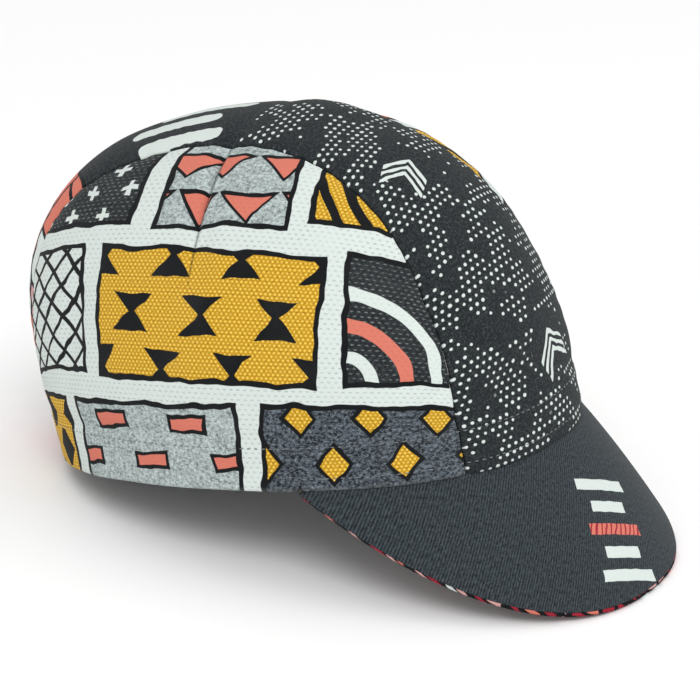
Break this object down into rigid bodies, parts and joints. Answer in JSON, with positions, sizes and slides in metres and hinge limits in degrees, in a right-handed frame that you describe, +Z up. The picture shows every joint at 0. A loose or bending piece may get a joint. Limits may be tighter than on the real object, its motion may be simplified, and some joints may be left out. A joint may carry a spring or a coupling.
{
  "type": "cycling cap",
  "caption": "Soft close-fitting cloth cap sewn from curved panels, with a short curved peak turned down at the front, worn for cycling.",
  "frame": {"origin": "middle of the cap's bounding box, on the surface that the nape and the peak's edge rest on", "axes": "+Z up, -Y towards the front of the cap, where the peak is, -X towards the wearer's right"},
  "size_m": [0.1534, 0.2554, 0.1425],
  "materials": {
    "centre_cloth": "matt cotton, charcoal with white dots",
    "side_cloth": "matt cotton, printed in mustard, grey, charcoal and white",
    "peak_twill": "matt charcoal twill",
    "peak_lining": "matt cotton, printed in red, pink, white and black",
    "band_cotton": "matt black cotton band"
  },
  "bodies": {
    "root": {"centre_panel": "centre_cloth", "side_panel_right": "side_cloth", "side_panel_left": "side_cloth", "peak_top": "peak_twill", "peak_underside": "peak_lining", "sweatband": "band_cotton"}
  },
  "joints": []
}
